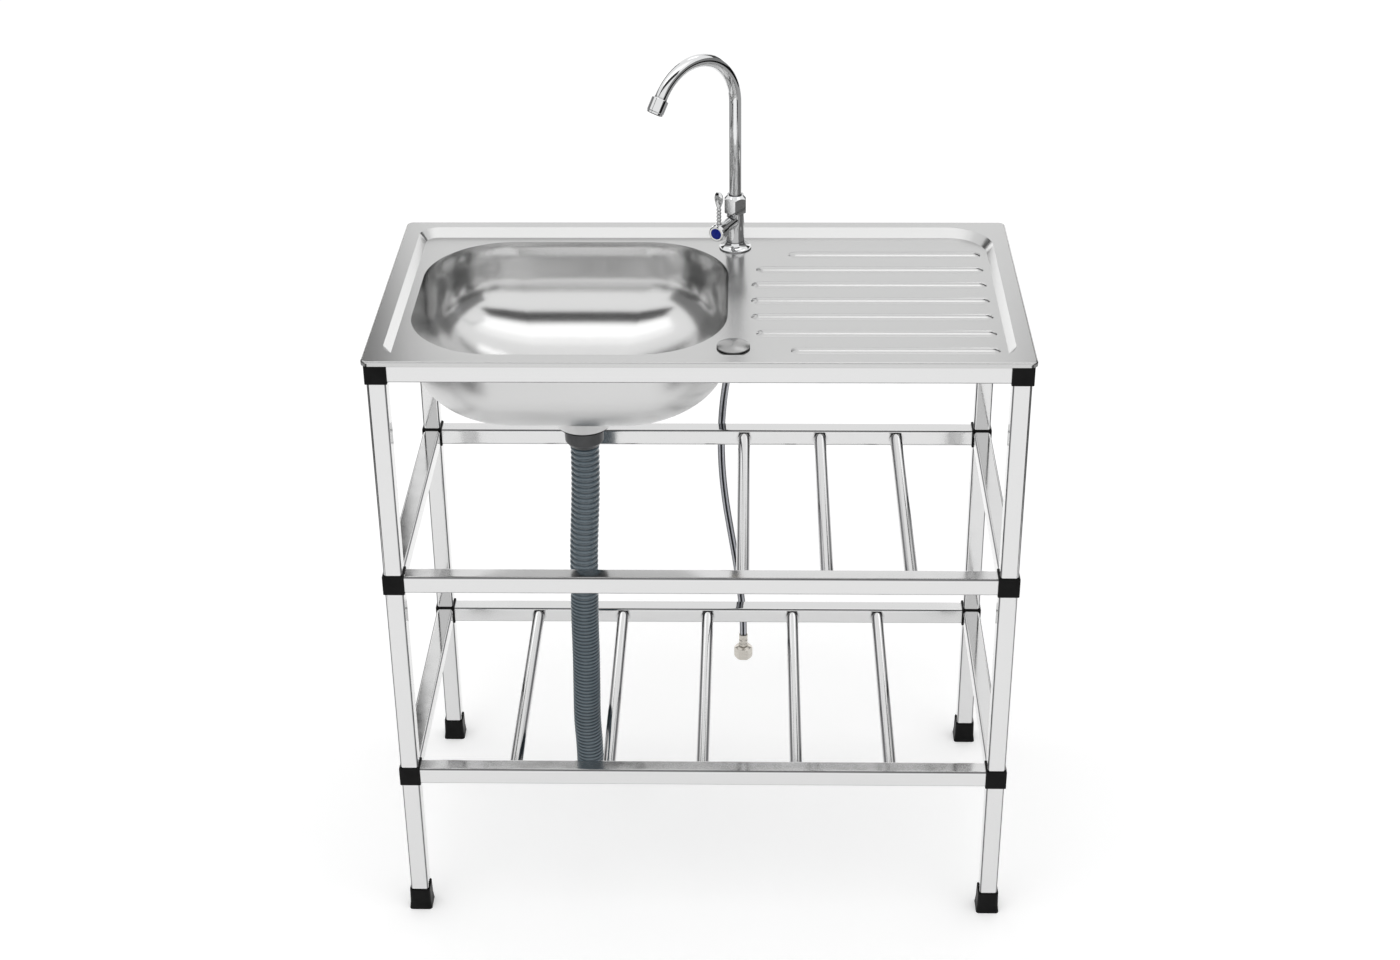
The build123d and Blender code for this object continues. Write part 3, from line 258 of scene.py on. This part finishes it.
def tube_mesh(name, line, stations, count, closed=False):
    """Tube from (distance, radius) stations; its map runs in metres round and along it."""
    vertices, faces, spots = [], [], []
    for distance, radius in stations:
        vertices += line.ring(distance, radius, count)
    turn_length = tau * max(radius for _, radius in stations)
    for i in range(len(stations) - 1):
        here, there = i * count, (i + 1) * count
        low, high = stations[i][0], stations[i + 1][0]
        for k in range(count):
            after = (k + 1) % count
            faces.append((here + k, here + after, there + after, there + k))
            left, right = turn_length * k / count, turn_length * (k + 1) / count
            spots += [(left, low), (right, low), (right, high), (left, high)]
    if closed:
        last = (len(stations) - 1) * count
        faces += [tuple(reversed(range(count))), tuple(range(last, last + count))]
        spots += [(0, 0)] * count * 2
    mesh = bpy.data.meshes.new(name)
    mesh.from_pydata(vertices, [], faces)
    layer = mesh.uv_layers.new(name="along")
    for loop, spot in zip(layer.data, spots):
        loop.uv = spot
    mesh.polygons.foreach_set("use_smooth", [True] * len(mesh.polygons))
    piece = bpy.data.objects.new(name, mesh)
    bpy.context.scene.collection.objects.link(piece)
    return piece


def rib_stations(length):
    """Outside of the waste hose, rib by rib from the top, and then its bore back up."""
    root, height = DRAIN_ROOT_D / 2, (DRAIN_OUTER_D - DRAIN_ROOT_D) / 2
    stations = [(0.0, root)]
    along = DRAIN_PLAIN_TOP
    while True:
        stretched = along < length * DRAIN_LONG_PART
        pitch = DRAIN_LONG_PITCH if stretched else DRAIN_SHORT_PITCH
        if along + pitch > length - DRAIN_PLAIN_END:
            break
        for step in range(RIB_STEPS):
            share = step / RIB_STEPS
            lift = min(RIB_STEEPNESS * sin(pi * min(share / RIB_PART, 1.0)), 1.0)
            stations.append((along + share * pitch, root + height * lift))
        along += pitch
    stations.append((length, root))
    return stations + [(length * share, DRAIN_BORE_D / 2) for share in BORE_STATIONS]


def make_drain_hose(material):
    """Ribbed waste hose, open at its lower end."""
    line = Line(smooth_line("drain_line", drain_route()))
    hose = tube_mesh("drain_hose_ribs", line, rib_stations(line.length), DRAIN_SIDES)
    hose.data.materials.append(material)
    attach(hose, "root")
    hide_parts("drain_hose")


def make_supply_hose(material):
    """Braided supply hose between its two ferrules."""
    line = Line(smooth_line("supply_line", supply_route()))
    stations = [(line.length * i / SUPPLY_STATIONS, SUPPLY_D / 2)
                for i in range(SUPPLY_STATIONS + 1)]
    hose = tube_mesh("supply_hose_braid", line, stations, SUPPLY_SIDES, closed=True)
    hose.data.materials.append(material)
    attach(hose, "root")
    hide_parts("supply_hose")


# ------------------------------------------------------------------ materials
class Paint:
    """A node material and short names for adding nodes to it."""

    def __init__(self, name, colour, metallic, roughness):
        self.material = bpy.data.materials.new(name)
        self.material.use_nodes = True
        self.tree = self.material.node_tree
        self.shader = self.tree.nodes["Principled BSDF"]
        self.set(Base_Color=(*colour, 1), Metallic=metallic, Roughness=roughness)

    def set(self, **values):
        """Values of the shader's own sockets, with spaces in their names as underscores."""
        for key, value in values.items():
            self.shader.inputs[key.replace("_", " ")].default_value = value

    def feed(self, **sources):
        """Nodes that the shader's own sockets take their values from, named as in set."""
        for key, source in sources.items():
            self.link(source, self.shader.inputs[key.replace("_", " ")])

    def node(self, kind, **settings):
        """A new node with some of its properties set."""
        made = self.tree.nodes.new(kind)
        for key, value in settings.items():
            setattr(made, key, value)
        return made

    def link(self, source, target):
        """A value led from one node's socket to another's."""
        self.tree.links.new(source, target)

    def object_place(self, scale=(1, 1, 1)):
        """Place on the object, in scaled axes."""
        spot = self.node("ShaderNodeTexCoord")
        mapping = self.node("ShaderNodeMapping")
        mapping.inputs["Scale"].default_value = scale
        self.link(spot.outputs["Object"], mapping.inputs["Vector"])
        return mapping.outputs["Vector"]

    def noise(self, place, scale, detail, rough=0.55):
        """Noise at a scale, from 0 to 1."""
        made = self.node("ShaderNodeTexNoise")
        made.inputs["Scale"].default_value = scale
        made.inputs["Detail"].default_value = detail
        made.inputs["Roughness"].default_value = rough
        self.link(place, made.inputs["Vector"])
        return made.outputs["Fac"]

    def span(self, source, low, high, from_low=0.3, from_high=0.7):
        """A value stretched to low and high, from the range that noise has or another."""
        made = self.node("ShaderNodeMapRange")
        made.inputs["From Min"].default_value = from_low
        made.inputs["From Max"].default_value = from_high
        made.inputs["To Min"].default_value = low
        made.inputs["To Max"].default_value = high
        self.link(source, made.inputs["Value"])
        return made.outputs["Result"]

    def mix(self, fac, first, second):
        """Two colours mixed by a value."""
        made = self.node("ShaderNodeMix", data_type="RGBA")
        made.inputs["A"].default_value = (*first, 1)
        made.inputs["B"].default_value = (*second, 1)
        self.link(fac, made.inputs["Factor"])
        return made.outputs["Result"]

    def math(self, operation, *terms):
        """A math node on sockets or numbers."""
        made = self.node("ShaderNodeMath", operation=operation)
        for socket, value in zip(made.inputs, terms):
            if isinstance(value, (int, float)):
                socket.default_value = value
            else:
                self.link(value, socket)
        return made.outputs["Value"]

    def blend(self, first, second, part):
        """Two values added up, the second one weighted by its part and the first by the rest."""
        return self.math("ADD", self.math("MULTIPLY", first, 1 - part),
                         self.math("MULTIPLY", second, part))

    def bump(self, height, distance, normal=None):
        """Bump from a height between 0 and 1, standing so many metres."""
        made = self.node("ShaderNodeBump")
        made.inputs["Distance"].default_value = distance
        made.inputs["Strength"].default_value = 1.0
        self.link(height, made.inputs["Height"])
        if normal:
            self.link(normal, made.inputs["Normal"])
        return made.outputs["Normal"]

    def corner_share(self):
        """0 on faces square to the object's axes, rising where a tube's corner is bent."""
        spot = self.node("ShaderNodeTexCoord")
        apart = self.node("ShaderNodeSeparateXYZ")
        self.link(spot.outputs["Normal"], apart.inputs["Vector"])
        sides = [self.math("ABSOLUTE", apart.outputs[axis]) for axis in "XYZ"]
        most = self.math("MAXIMUM", self.math("MAXIMUM", sides[0], sides[1]), sides[2])
        return self.math("SUBTRACT", 1.0, most)

    def open_share(self, reach):
        """1 on open faces, falling towards 0 in gaps and corners narrower than the reach."""
        made = self.node("ShaderNodeAmbientOcclusion", samples=8)
        made.inputs["Distance"].default_value = reach
        return made.outputs["AO"]

    def soft_edge(self, radius):
        """Normal that rounds sharp edges a little."""
        made = self.node("ShaderNodeBevel", samples=4)
        made.inputs["Radius"].default_value = radius
        return made.outputs["Normal"]


def satin_steel(name, colour, roughness, stretch):
    """Pressed stainless steel with a fine brushed grain and faint clouds."""
    paint = Paint(name, colour, metallic=1.0, roughness=roughness)
    grain = paint.noise(paint.object_place(stretch), scale=1400, detail=2)
    cloud = paint.noise(paint.object_place(), scale=7, detail=3)
    shade = paint.blend(grain, cloud, part=0.6)
    dark = tuple(STEEL_DARKEST * part for part in colour)
    pale = tuple(STEEL_PALEST * part for part in colour)
    paint.feed(Roughness=paint.span(grain, roughness - STEEL_SPREAD, roughness + STEEL_SPREAD),
               Base_Color=paint.mix(paint.span(shade, 0, 1), dark, pale),
               Normal=paint.bump(grain, STEEL_GRAIN_HEIGHT))
    return paint.material


def polished_steel():
    """Bright tube with faint wiping marks, with painted shade at its bent corners and in gaps.
    """
    paint = Paint("polished_tube", TUBE_STEEL, metallic=1.0, roughness=0.08)
    marks = paint.noise(paint.object_place(), scale=35, detail=5, rough=0.6)
    ripple = paint.noise(paint.object_place(), scale=22, detail=2)
    # painted shade: the base colour darkens on bent corners and where ambient occlusion finds
    # narrow gaps
    bend_shade = paint.span(paint.corner_share(), 0, 1, from_low=0.03, from_high=0.2)
    gap_shade = paint.span(paint.open_share(TUBE_GAP), 1, 0, from_low=0.15, from_high=0.8)
    paint.feed(Roughness=paint.span(marks, low=0.06, high=0.12),
               Base_Color=paint.mix(paint.math("MAXIMUM", bend_shade, gap_shade), TUBE_STEEL, TUBE_SHADE),
               Normal=paint.bump(ripple, TUBE_RIPPLE))
    return paint.material


def chrome():
    """Bright plate with a slight orange-peel ripple, with painted shade in gaps."""
    paint = Paint("tap_chrome", CHROME, metallic=1.0, roughness=0.04)
    haze = paint.noise(paint.object_place(), scale=60, detail=4)
    ripple = paint.noise(paint.object_place(), scale=240, detail=1)
    # painted shade: the base colour darkens where ambient occlusion finds narrow gaps
    gap_shade = paint.span(paint.open_share(CHROME_GAP), 1, 0, from_low=0.35, from_high=0.92)
    paint.feed(Roughness=paint.span(haze, low=0.025, high=0.06),
               Base_Color=paint.mix(gap_shade, CHROME, CHROME_SHADE),
               Normal=paint.bump(ripple, CHROME_RIPPLE, normal=paint.soft_edge(METAL_EDGE)))
    return paint.material


def plated(name, colour, roughness):
    """Satin plating or bare metal with fine turning marks."""
    paint = Paint(name, colour, metallic=1.0, roughness=roughness)
    marks = paint.noise(paint.object_place(TURNING_SQUEEZE), scale=160, detail=3)
    smoother, rougher = TURNING_SPREAD
    paint.feed(Roughness=paint.span(marks, roughness + smoother, roughness + rougher),
               Normal=paint.bump(marks, TURNING_HEIGHT, normal=paint.soft_edge(METAL_EDGE)))
    return paint.material


def moulded(name, colour, roughness, shine=0.5):
    """Moulded plastic or rubber with a fine pebbled skin and softly rounded edges."""
    paint = Paint(name, colour, metallic=0.0, roughness=roughness)
    paint.set(Specular_IOR_Level=shine)
    pebble = paint.noise(paint.object_place(), scale=1500, detail=2)
    blotch = paint.noise(paint.object_place(), scale=45, detail=3)
    smoother, rougher = BLOTCH_SPREAD
    pale = tuple(BLOTCH_GAIN * part + BLOTCH_LIFT for part in colour)
    paint.feed(Roughness=paint.span(blotch, roughness + smoother, roughness + rougher),
               Base_Color=paint.mix(paint.span(blotch, 0, 1), colour, pale),
               Normal=paint.bump(pebble, PEBBLE_HEIGHT, normal=paint.soft_edge(MOULDED_EDGE)))
    return paint.material


def hose_plastic():
    """Blue-grey glossy plastic, paler on the crests of the ribs as a painted highlight and
    darker in the grooves as painted shade.
    """
    paint = Paint("waste_hose_plastic", HOSE_BLUE_GREY, metallic=0.0, roughness=0.22)
    paint.set(Coat_Weight=0.5, Coat_Roughness=0.08)
    shape = paint.node("ShaderNodeNewGeometry")
    # painted light: pointiness darkens the grooves as shade and lightens the crests as a
    # highlight
    crest_light = paint.span(shape.outputs["Pointiness"], 0, 1, from_low=0.44, from_high=0.56)
    mottle = paint.noise(paint.object_place(HOSE_STRETCH), scale=120, detail=3)
    shade = paint.blend(crest_light, mottle, part=0.25)
    paint.feed(Base_Color=paint.mix(shade, HOSE_GROOVE_SHADE, HOSE_CREST_HIGHLIGHT),
               Normal=paint.bump(mottle, HOSE_MOTTLE_HEIGHT))
    return paint.material


def braid():
    """Strands woven both ways round a hose, under a painted reflection: four pale bands of
    painted highlight along it at fixed angles round it, and black between them as painted dark
    reflection.
    """
    paint = Paint("supply_braid", BRAID_GREY, metallic=0.9, roughness=0.28)
    spot = paint.node("ShaderNodeUVMap", uv_map="along")
    apart = paint.node("ShaderNodeSeparateXYZ")
    paint.link(spot.outputs["UV"], apart.inputs["Vector"])
    around, along = apart.outputs["X"], apart.outputs["Y"]
    girth = tau * SUPPLY_D / 2
    heights = []
    for side in (-1, 1):
        wind = paint.math("MULTIPLY_ADD", along, side * BRAID_STRANDS / BRAID_LAY,
                          paint.math("MULTIPLY", around, BRAID_STRANDS / girth))
        heights.append(paint.math("SINE", paint.math("MULTIPLY", paint.math("FRACT", wind), pi)))
    check = paint.math("SINE", paint.math("MULTIPLY", along, tau * BRAID_STRANDS / BRAID_LAY))
    over = paint.math("GREATER_THAN", check, 0.0)
    under = paint.math("SUBTRACT", 1.0, over)
    height = paint.math("ADD", paint.math("MULTIPLY", heights[0], over),
                        paint.math("MULTIPLY", heights[1], under))
    # painted reflection: pale highlight in four bands at fixed angles round the hose, black
    # between them
    angle = paint.math("MULTIPLY", around, tau / girth)
    aside = paint.math("ABSOLUTE", paint.math("COSINE", angle))
    highlight_bands = paint.math("MULTIPLY", paint.span(aside, 0, 1, from_low=0.2, from_high=0.34),
                      paint.span(aside, 1, 0, from_low=0.68, from_high=0.84))
    pale_highlight = paint.math("MULTIPLY", highlight_bands, paint.span(height, 0.55, 1, from_low=0, from_high=0.6))
    paint.feed(Base_Color=paint.mix(pale_highlight, BRAID_DARK_REFLECTION, BRAID_PALE_HIGHLIGHT),
               Normal=paint.bump(height, BRAID_HEIGHT))
    return paint.material


def enamel():
    """Deep blue glossy button with a faint depth to its colour."""
    paint = Paint("index_blue", INDEX_BLUE, metallic=0.0, roughness=0.2)
    paint.set(Specular_IOR_Level=0.15, Coat_Weight=0.15, Coat_Roughness=0.05)
    depth = paint.noise(paint.object_place(), scale=300, detail=2)
    paint.feed(Base_Color=paint.mix(paint.span(depth, 0, 1), INDEX_DEEP, INDEX_PALE),
               Normal=paint.bump(depth, INDEX_RIPPLE))
    return paint.material


def family(*starts):
    """Names of the CAD nodes that start in one of these ways."""
    return [name for name in NODES if name.startswith(starts)]


def dull_shaded_outside(piece, look):
    """Second material on the faces of a hollow piece that turn away from its mouth's middle."""
    corners = [Vector(corner) for corner in piece.bound_box]
    middle = sum(corners, Vector()) / len(corners)
    middle.z = max(corner.z for corner in corners)
    piece.data.materials.append(look)
    for face in piece.data.polygons:
        face.material_index = int(face.normal.dot(face.center - middle) > 0)


def dress_nodes():
    """Material for every CAD node that isn't replaced."""
    deck = satin_steel("satin_deck", DECK_STEEL, roughness=0.21, stretch=GRAIN_ALONG_X)
    bowl = satin_steel("satin_bowl", BOWL_STEEL, roughness=0.18, stretch=GRAIN_ROUND_BOWL)
    lid = satin_steel("satin_cover", COVER_STEEL, roughness=0.25, stretch=GRAIN_ON_COVER)
    # the bowl's outside: its higher roughness is real, and its darker colour is painted shade
    dull_shaded = satin_steel("satin_underside", UNDERSIDE_STEEL_SHADED, roughness=0.34,
                       stretch=GRAIN_ROUND_BOWL)
    tube, plate = polished_steel(), chrome()
    joint = moulded("joint_plastic", JOINT_BLACK, roughness=0.42, shine=0.08)
    rubber = moulded("black_rubber", RUBBER_BLACK, roughness=0.55, shine=0.2)
    grey = moulded("coupling_plastic", COUPLING_GREY, roughness=0.38, shine=0.4)
    pale = moulded("cover_nut_plastic", COVER_NUT_WHITE, roughness=0.4)
    brass = plated("turned_brass", BRASS, roughness=0.25)
    nickel = plated("satin_nickel", NICKEL, roughness=0.24)
    blue = enamel()
    looks = (
        (deck, ["sink_top"]),
        (bowl, ["basin", "strainer"]),
        (lid, ["tap_hole_cover"]),
        (plate, ["strainer_screw", "tap_flange", "tap_body", "tap_handle",
                 "spout_nut", "spout", "aerator"]),
        (rubber, ["waste_gasket", "cover_gasket", "tap_seat_washer"]),
        (grey, ["waste_body"]),
        (pale, ["cover_nut"]),
        (brass, ["tap_lock_nut", "valve_cartridge", "valve_spindle"]),
        (nickel, ["supply_top_nut", "supply_top_ferrule", "supply_ferrule", "supply_nut"]),
        (blue, ["index_button"]),
        (joint, ["foot_caps", *family("corner_joints", "rod_plugs")]),
        (tube, family("leg_", "rail_", "shelf_rods")))
    for look, names in looks:
        for name in names:
            mesh = NODES[name].data
            mesh.materials.clear()
            mesh.materials.append(look)
            mesh.polygons.foreach_set("material_index", [0] * len(mesh.polygons))
    dull_shaded_outside(NODES["basin"], dull_shaded)


# ------------------------------------------------------------------ making the studio
def plane_object(name, width, height, matrix):
    """Rectangle that faces its own +Z and isn't part of the object."""
    x, y = width / 2, height / 2
    mesh = bpy.data.meshes.new(name)
    mesh.from_pydata([(-x, -y, 0), (x, -y, 0), (x, y, 0), (-x, y, 0)], [], [(0, 1, 2, 3)])
    plane = bpy.data.objects.new(name, mesh)
    plane.matrix_world = matrix
    bpy.context.scene.collection.objects.link(plane)
    return plane


def seen_directly(tree):
    """1 where a camera, mirror or glass ray looks, and 0 for the light that falls on things."""
    path = tree.nodes.new("ShaderNodeLightPath")
    total = path.outputs["Is Camera Ray"]
    for other in ("Is Glossy Ray", "Is Transmission Ray"):
        add = tree.nodes.new("ShaderNodeMath")
        add.operation = "MAXIMUM"
        tree.links.new(total, add.inputs[0])
        tree.links.new(path.outputs[other], add.inputs[1])
        total = add.outputs["Value"]
    return total


def make_world():
    """White surroundings, with a plainer light on the object."""
    world = bpy.data.worlds.new("studio")
    world.use_nodes = True
    bpy.context.scene.world = world
    tree = world.node_tree
    background = tree.nodes["Background"]
    background.inputs["Color"].default_value = WHITE
    strength = tree.nodes.new("ShaderNodeMapRange")
    strength.inputs["To Min"].default_value = WORLD_LIGHT
    strength.inputs["To Max"].default_value = WORLD_SEEN
    tree.links.new(seen_directly(tree), strength.inputs["Value"])
    tree.links.new(strength.outputs["Result"], background.inputs["Strength"])


def matt_paint(name, colour, roughness):
    """Paint without a shine, for a surface that may glow white."""
    paint = Paint(name, colour, metallic=0.0, roughness=roughness)
    paint.set(Specular_IOR_Level=0.0, Emission_Color=WHITE)
    return paint


def make_floor():
    """Pale floor that looks white and keeps the object's shadow."""
    floor = plane_object("floor", FLOOR_SIZE, FLOOR_SIZE, FLAT)
    paint = matt_paint("floor", FLOOR_WHITE, roughness=0.9)
    paint.feed(Emission_Strength=paint.math("MULTIPLY", seen_directly(paint.tree), FLOOR_GLOW))
    floor.data.materials.append(paint.material)


def make_lamp(name, place, aim, width, height, power):
    """Soft rectangular lamp that mirrors don't show."""
    data = bpy.data.lights.new(name, "AREA")
    data.shape = "RECTANGLE"
    data.size = width
    data.size_y = height
    data.energy = power
    lamp = bpy.data.objects.new(name, data)
    lamp.location = place
    lamp.rotation_euler = (Vector(aim) - Vector(place)).to_track_quat("-Z", "Y").to_euler()
    lamp.visible_glossy = False
    bpy.context.scene.collection.objects.link(lamp)


def make_card(name, width, height, place, turn, glow):
    """Card that only mirrors show: dark without a glow, bright with one."""
    paint = matt_paint(name, CARD_BLACK, roughness=1.0)
    paint.set(Emission_Strength=glow)
    card = plane_object(name, width, height, Matrix.Translation(place) @ turn)
    card.data.materials.append(paint.material)
    card.visible_camera = False
    card.visible_diffuse = False
    card.visible_shadow = False
    card.visible_transmission = False


def make_cards():
    """Cards round the unit that bright metal draws its edges and gradients from."""
    for side in (-1, 1):
        for name, width, height, (x, y, z), turn, glow in SIDE_CARDS:
            make_card(f"{name}_{side}", width, height, (side * x, y, z), turn, glow)
    for card in MIDDLE_CARDS:
        make_card(*card)


# ------------------------------------------------------------------ making it all
make_camera()
make_drain_hose(hose_plastic())
make_supply_hose(braid())
dress_nodes()
make_world()
make_floor()
make_cards()
for lamp in LAMPS:
    make_lamp(*lamp)
bpy.context.scene.view_settings.view_transform = "Standard"
